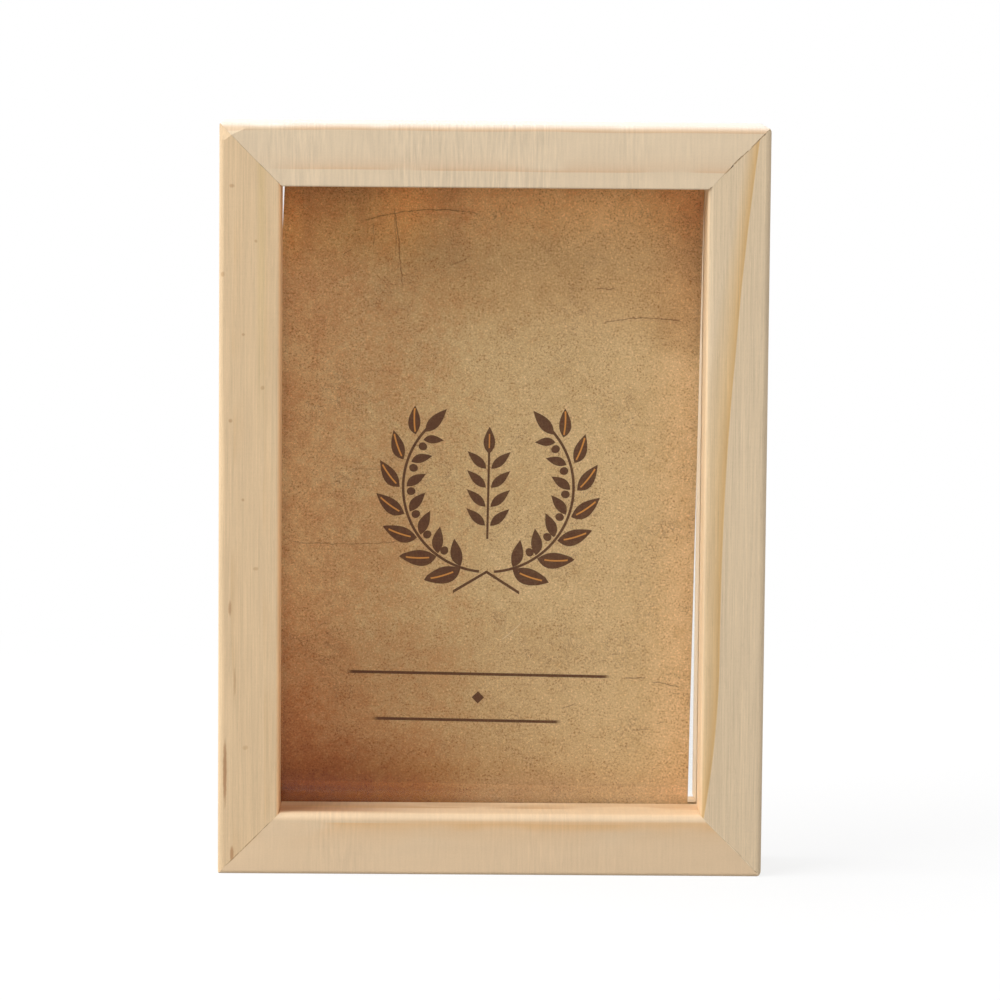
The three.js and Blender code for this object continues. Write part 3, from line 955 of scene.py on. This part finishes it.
def worn_metal(name, bright, dull, roughness):
    """Stamped metal: bright where it is rubbed, duller in patches, with fine scratches. Its colours are those
    on a screen."""
    bright, dull = from_screen(*bright), from_screen(*dull)
    finish = Finish(name)
    x, y, z = finish.place()
    patches = finish.noise((x, y, z), 0.16, 4, 0.6)
    grain = finish.noise((x * 0.6, y * 3, z * 7), 1.2, 3, 0.65)
    pits = finish.noise((x, y, z), 2.6, 2, 0.6).step(0.62, 0.78)
    colour = finish.blend(patches.step(0.3, 0.75), bright, dull)
    colour = lightened(finish, colour, (grain - 0.5) * 0.22 + 1)
    colour = finish.blend(pits * 0.35, colour, tuple(part * 0.4 for part in dull))
    finish.set(
        base_color=colour,
        metallic=(pits * -0.15) + 1,
        roughness=patches * 0.18 + grain * 0.14 + (roughness - 0.16),
    )
    finish.bump(grain * 0.5 + pits * -0.5, 0.02)
    return finish.owner


# The rails

def to_side(turns, reach):
    """From where a piece is drawn, along the bottom, to its own side."""
    return (
        Matrix.Translation((0, 0, MIDDLE_Z))
        @ Matrix.Rotation(-turns * math.pi / 2, 4, "Y")
        @ Matrix.Translation((0, 0, -reach))
    )


def ragged_line(stray):
    """How far a mitre's front edge strays at a distance from its outer corner: level runs and steps."""
    steps = []
    place = 0
    while place < MITRE_LENGTH:
        steps.append((place, draw.uniform(-stray, stray)))
        place += draw.uniform(*STRAIGHT_RUNS) * MM

    def strayed(distance):
        return [offset for start, offset in steps if start <= distance][-1]
    return strayed


def chip_mitres(rail, side, lines):
    """Makes the straight front edges of the mitres ragged and breaks small chips off them."""
    name, turns, length, reach = side
    way = to_side(turns, reach)
    level = name in ("top", "bottom")
    for end in (-1, 1):
        mitre = way @ Vector((end * (length / 2 - HALF_GLUE_LINE * math.sqrt(2)), 0, 0))
        across = (way.to_3x3() @ Vector((end, 0, 1))).normalized()
        along = (way.to_3x3() @ Vector((-end, 0, 1))).normalized()
        corner = ("top" if mitre.z > MIDDLE_Z else "bottom", "right" if mitre.x > 0 else "left")

        def run(point):
            return (point.co - mitre).dot(along)

        def beside(point, width, depth):
            return abs((point.co - mitre).dot(across)) < width and abs(point.co.y - FRONT) < depth

        pick(rail, "EDGE", lambda edge: all(beside(point, NEAR, NEAR) for point in edge.verts))
        bpy.ops.mesh.subdivide(number_cuts=MITRE_CUTS)
        pick(rail, "VERT", lambda point: beside(point, NEAR, NEAR))
        mesh = bmesh.from_edit_mesh(rail.data)
        edge = sorted((point for point in mesh.verts if point.select), key=run)
        for point in edge[1:-1]:
            stray = lines[corner](run(point))
            point.co += across * (stray if level else -stray)
        bmesh.update_edit_mesh(rail.data)
        for _ in range(RAGGED_MITRES[corner][1]):
            start = draw.uniform(*CHIP_STARTS) * RAIL_FACE
            stop = start + draw.uniform(*CHIP_LENGTHS) * MM
            pick(
                rail,
                "VERT",
                lambda point: beside(point, CHIP_WIDTH, CHIP_REACH) and start < run(point) < stop,
            )
            bpy.ops.transform.translate(value=(0, CHIP_DEPTH, 0))


def make_rail(side):
    name, turns, length, reach = side
    half = length / 2
    inner = RAIL_FACE - (LEFT_PLANED if name == "left" else 0)
    rail = block(f"{name}_rail_board", (-half, FRONT, 0), (half, SHOULDER, inner))
    # The radius of each end's outer corner, as the rail lies along the bottom
    radii = {
        "bottom": (LEFT_CORNER_RADIUS, RIGHT_CORNER_RADIUS),
        "right": (RIGHT_CORNER_RADIUS, RIGHT_CORNER_RADIUS),
        "top": (RIGHT_CORNER_RADIUS, LEFT_CORNER_RADIUS),
        "left": (LEFT_CORNER_RADIUS, LEFT_CORNER_RADIUS),
    }[name]
    with editing(rail):
        score((0, 0, REAR_FACE), (0, 0, 1))
        pick(rail, "FACE", lambda face: face.normal.y > 0.9 and face.calc_center_median().z < REAR_FACE)
        push((0, REAR - SHOULDER, 0))
        round_edges(rail, line_at(y=FRONT, z=0), OUTER_ARRIS[name])
        round_edges(rail, line_at(y=REAR, z=0), OUTER_ARRIS[name])
        round_edges(rail, line_at(y=FRONT, z=inner), INNER_ARRIS[name])
        round_edges(rail, line_at(y=REAR, z=REAR_FACE), REAR_ARRIS, steps=3)
        round_edges(rail, line_at(y=SHOULDER, z=inner), SHOULDER_ARRIS, steps=2)
        for end, radius in zip((-1, 1), radii):
            mitre = Vector((end * (half - HALF_GLUE_LINE * math.sqrt(2)), 0, 0))
            across = Vector((end, 0, 1))
            shave(mitre, across)
            score(mitre - across * CHIP_BAND / math.sqrt(2), across)
            centre = Vector((end * (half - radius), 0, radius))
            for step in range(1, CORNER_STEPS + 1):
                angle = step / CORNER_STEPS * math.pi / 4
                outwards = Vector((end * math.sin(angle), 0, -math.cos(angle)))
                shave(centre + outwards * radius, outwards)
        face_outwards()
    rail.matrix_world = to_side(turns, reach)
    settle(rail)
    if name in ("top", "left"):
        sand_corner(rail)
    return rail


def sand_corner(rail):
    """The upper left corner is sanded down in two strokes."""
    corner = Vector((LEFT, FRONT, TOP))
    first, second, third = (corner + Vector(place) * MM for place in SANDED_PLANE)
    outwards = (second - first).cross(third - first).normalized()
    if outwards.y > 0:
        outwards.negate()
    middle = (first + second + third) / 3
    for degrees in SANDING_STROKES:
        stroke = turn(degrees, size=3) @ outwards
        plane = block(
            "sanding_plane", (-SANDER_REACH, -SANDER_REACH, 0), (SANDER_REACH, SANDER_REACH, SANDER_DEPTH)
        )
        plane.matrix_world = Matrix.Translation(middle) @ stroke.to_track_quat("Z", "Y").to_matrix().to_4x4()
        cut(rail, settle(plane))


def vee_pockets():
    """Cutters for the vee nails' pockets, two at each corner, with the corner's ways in along X and Z."""
    arms = []
    for in_x, in_z in ((1, 1), (1, -1), (-1, 1), (-1, -1)):
        inwards = Vector((in_x, 0, in_z))
        apex = Vector((LEFT if in_x > 0 else RIGHT, 0, 0 if in_z > 0 else TOP)) + inwards * VEE_APEX
        for degrees in (VEE_HALF_ANGLE, -VEE_HALF_ANGLE):
            way = turn(degrees, size=3) @ -inwards.normalized()
            arm = block(
                "vee_pocket",
                (-VEE_POCKET_WIDTH / 3, REAR - VEE_POCKET_DEPTH, -VEE_POCKET_WIDTH / 2),
                (VEE_ARM + VEE_POCKET_PLAY, REAR + OVERRUN, VEE_POCKET_WIDTH / 2),
            )
            arm.matrix_world = Matrix.Translation(apex) @ Matrix.Rotation(math.atan2(-way.z, way.x), 4, "Y")
            arms.append((in_x, in_z, settle(arm)))
    return arms


def bore(rail, place, radius, steps):
    """A pilot hole in the rail's back."""
    cut(rail, disc("pilot_hole", place, radius + PILOT_PLAY, REAR - PILOT_DEPTH, REAR + OVERRUN, steps))


def make_strip(side):
    name, turns, length, reach = side
    lowest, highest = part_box(f"{name}_strip")
    inset = REAR_FACE + STRIP_PLAY
    # The strip's inner face, as its own solid has it
    inner = {
        "bottom": highest.z,
        "top": TOP - lowest.z,
        "left": highest.x - LEFT - LEFT_PLANED,
        "right": RIGHT - lowest.x,
    }[name]
    half = length / 2
    strip = block(f"{name}_strip_batten", (-half, lowest.y, inset), (half, highest.y, inner))
    with editing(strip):
        if name == "right":
            # This strip's inner face isn't square: it stands proud at its rear edge alone
            pick(strip, "EDGE", line_at(y=lowest.y, z=inner))
            bpy.ops.transform.translate(value=(0, 0, RAIL_FACE - inner))
        round_edges(strip, line_at(y=highest.y, z=inner), STRIP_REAR_ARRIS, steps=3)
        round_edges(strip, line_at(y=lowest.y, z=min(inner, RAIL_FACE)), STRIP_FRONT_ARRIS, steps=2)
        for end in (-1, 1):
            shave((end * (half - STRIP_END_PLAY), 0, 0), (end, 0, 1))
        if name == "left":
            # The upper end of this strip's inner face is whittled away
            shave(WHITTLED_FROM, (WHITTLED_FROM - WHITTLED_TO).cross((0, 1, 0)))
        face_outwards()
    strip.matrix_world = to_side(turns, reach)
    return settle(strip)


def middle(low, high):
    return (low + high) / 2


screw_places = {
    name: middle(*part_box(f"{name}_screw"))
    for name in ("left_upper", "left_lower", "right_upper", "right_lower")
}
hanger_nail_places = {name: middle(*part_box(f"{name}_hanger_nail")) for name in ("left", "right")}
pockets = vee_pockets()
mitre_lines = {corner: ragged_line(stray) for corner, (stray, _) in RAGGED_MITRES.items()}
for side in SIDES:
    name = side[0]
    rail = make_rail(side)
    for in_x, in_z, arm in pockets:
        if {"left": in_x > 0, "right": in_x < 0, "bottom": in_z > 0, "top": in_z < 0}[name]:
            cut(rail, arm, keep=True)
    for screw, place in screw_places.items():
        if screw.startswith(name):
            bore(rail, place, SCREW_SHANK, SCREW_HOLE_STEPS)
    if name == "top":
        for place in hanger_nail_places.values():
            bore(rail, place, NAIL_SHANK, NAIL_HOLE_STEPS)
    with editing(rail):
        chip_mitres(rail, side, mitre_lines)
    smooth(rail, RAIL_SMOOTH_ANGLE)
    dress(rail, pine(f"{name} rail pine", name, BOARDS[name]), f"{name}_rail")
    strip = make_strip(side)
    smooth(strip)
    board = dict(STRIP_BOARD, seed=STRIP_BOARD["seed"] + 7 * side[1])
    dress(strip, pine(f"{name} strip pine", name, board), f"{name}_strip")
for _, _, arm in pockets:
    discard(arm)

# The panes and the card

glass = clear_glass()
for name in ("front_pane", "rear_pane"):
    pane = block(f"{name}_sheet", *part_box(name))
    with editing(pane):
        bpy.ops.mesh.bevel(offset=PANE_ARRIS, segments=1, affect="EDGES")
    smooth(pane)
    dress(pane, glass, name)


def make_card():
    low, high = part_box("printed_card")
    centre = middle(low, high) + CARD_SHIFT
    width, height = CARD_SIZE
    card = block("kraft_card", (-width / 2, low.y, -height / 2), (width / 2, high.y, height / 2))
    card.matrix_world = Matrix.Translation((centre.x, 0, centre.z)) @ turn(CARD_TILT)
    settle(card)
    with editing(card):
        bpy.ops.mesh.bevel(offset=CARD_ARRIS, segments=2, affect="EDGES")
        # The upper left corner was trimmed a little aslant
        shave(TRIMMED_FROM, (TRIMMED_TO - TRIMMED_FROM).cross((0, 1, 0)))
        face_outwards()
    choose(card)
    bpy.ops.object.shade_flat()
    dress(card, kraft_card(), "printed_card")


make_card()

# The metal parts

screw_steel = worn_metal("screw steel", (178, 178, 178), (140, 141, 143), 0.38)
nail_steel = worn_metal("vee nail steel", (150, 152, 156), (104, 104, 106), 0.5)
button_brass = worn_metal("button brass", (196, 168, 112), (166, 138, 88), 0.4)
hanger_brass = worn_metal("hanger brass", (200, 172, 116), (168, 140, 90), 0.38)
hanger_nail_brass = worn_metal("hanger nail brass", (190, 162, 108), (156, 128, 80), 0.42)
for corner in ("top_left", "top_right", "bottom_left", "bottom_right"):
    for material_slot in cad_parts[f"{corner}_vee_nail"].material_slots:
        material_slot.material = nail_steel


def headed_pin(name, shank, length, point, head, head_height, steps):
    """A screw or nail along Y, with the underside of its domed head at Y = 0."""
    crown = head_height / 2
    pin = disc(name, Vector(), head, 0, head_height - crown, steps)

    def narrow(factor, y):
        bpy.ops.transform.resize(value=(factor, 1, factor), center_override=(0, y, 0))
    with editing(pin):
        pick(pin, "FACE", lambda face: face.normal.y > 0.9)
        height, radius = head_height - crown, head
        for step in range(1, DOME_STEPS):
            angle = step / DOME_STEPS * math.pi / 2
            next_height, next_radius = head_height - crown + crown * math.sin(angle), head * math.cos(angle)
            push((0, next_height - height, 0))
            narrow(next_radius / radius, next_height)
            height, radius = next_height, next_radius
        push((0, head_height - height, 0))
        narrow(DOME_TOP, head_height)
        pick(pin, "FACE", lambda face: face.normal.y < -0.9)
        push((0, 0, 0))
        narrow(shank / head, 0)
        push((0, point - length, 0))
        push((0, -point, 0))
        narrow(POINT_TIP, -length)
        face_outwards()
    return pin


def make_screws():
    low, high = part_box("left_upper_screw")
    length = high.y - low.y - SCREW_HEAD_HEIGHT
    pattern = headed_pin(
        "screw_pattern", SCREW_SHANK, length, SCREW_POINT, SCREW_HEAD, SCREW_HEAD_HEIGHT, SCREW_STEPS
    )
    long, wide, deep = SCREW_CROSS
    for across, upright in ((long, wide), (wide, long)):
        slot = block(
            "cross_slot",
            (-across / 2, SCREW_HEAD_HEIGHT - deep, -upright / 2),
            (across / 2, SCREW_HEAD_HEIGHT + OVERRUN, upright / 2),
        )
        cut(pattern, slot)
    soften(pattern, SCREW_ARRIS)
    smooth(pattern)
    for name, place in screw_places.items():
        way = Matrix.Rotation(draw.uniform(*SCREW_TURNS), 4, "Y")
        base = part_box(f"{name}_screw")[1].y - SCREW_HEAD_HEIGHT
        screw = placed_copy(pattern, f"{name}_wood_screw", place, base, way)
        dress(screw, screw_steel, f"{name}_screw")
    discard(pattern)


def make_buttons():
    low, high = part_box("left_upper_button")
    thickness = high.y - low.y
    reach = (high.x - low.x) - BUTTON_PIVOT - BUTTON_TIP
    pivot = disc("pivot_end", Vector(), BUTTON_PIVOT, 0, thickness, PIVOT_STEPS)
    tip = disc("tip_end", Vector((reach, 0, 0)), BUTTON_TIP, 0, thickness)
    choose(pivot, tip)
    bpy.ops.object.join()
    pattern = bpy.context.object
    with editing(pattern):
        bpy.ops.mesh.convex_hull()
    cut(pattern, disc("button_hole", Vector(), BUTTON_HOLE, -OVERRUN, thickness + OVERRUN))
    soften(pattern, BUTTON_ARRIS, steps=3)
    smooth(pattern)
    for name, place in screw_places.items():
        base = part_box(f"{name}_button")[0].y
        way = Matrix.Rotation(0 if name.startswith("left") else math.pi, 4, "Y")
        button = placed_copy(pattern, f"{name}_turn_plate", place, base, way)
        dress(button, button_brass, f"{name}_button", f"{name}_turn_button")
    discard(pattern)


def make_hanger():
    low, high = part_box("sawtooth_hanger")
    hanger = block("sawtooth_plate", low, (high.x, low.y + HANGER_SHEET, high.z))
    with editing(hanger):
        for end in (-1, 1):
            score((end * HANGER_FOOT_END, 0, 0), (1, 0, 0))
            score((end * HANGER_RAMP_END, 0, 0), (1, 0, 0))
        pick(hanger, "VERT", lambda point: abs(point.co.x) < HANGER_RAMP_END + NEAR)
        bpy.ops.transform.translate(value=(0, high.y - low.y - HANGER_SHEET, 0))
    pitch = 2 * HANGER_RAMP_END / HANGER_TEETH
    for tooth in range(HANGER_TEETH):
        choose()
        bpy.ops.mesh.primitive_cylinder_add(
            vertices=4,
            radius=1,
            depth=2,
            location=((tooth + 0.5) * pitch - HANGER_RAMP_END, high.y, low.z),
            rotation=(math.pi / 2, 0, 0),
            scale=(pitch / 2, HANGER_TOOTH_DEPTH, HANGER_NOTCH_REACH),
        )
        cut(hanger, settle(bpy.context.object))
    for place in hanger_nail_places.values():
        cut(hanger, disc("hanger_hole", place, NAIL_HOLE, low.y - OVERRUN, high.y + OVERRUN, NAIL_HOLE_STEPS))
    soften(hanger, HANGER_ARRIS)
    smooth(hanger)
    dress(hanger, hanger_brass, "sawtooth_hanger")


def make_hanger_nails():
    low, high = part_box("left_hanger_nail")
    length = high.y - low.y - NAIL_HEAD_HEIGHT
    pattern = headed_pin(
        "nail_pattern", NAIL_SHANK, length, NAIL_POINT, NAIL_HEAD, NAIL_HEAD_HEIGHT, NAIL_STEPS
    )
    smooth(pattern)
    for name, place in hanger_nail_places.items():
        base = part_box(f"{name}_hanger_nail")[1].y - NAIL_HEAD_HEIGHT
        nail = placed_copy(pattern, f"{name}_hanger_pin", place, base)
        dress(nail, hanger_nail_brass, f"{name}_hanger_nail")
    discard(pattern)


make_screws()
make_buttons()
make_hanger()
make_hanger_nails()

bpy.context.scene.view_settings.view_transform = "Standard"
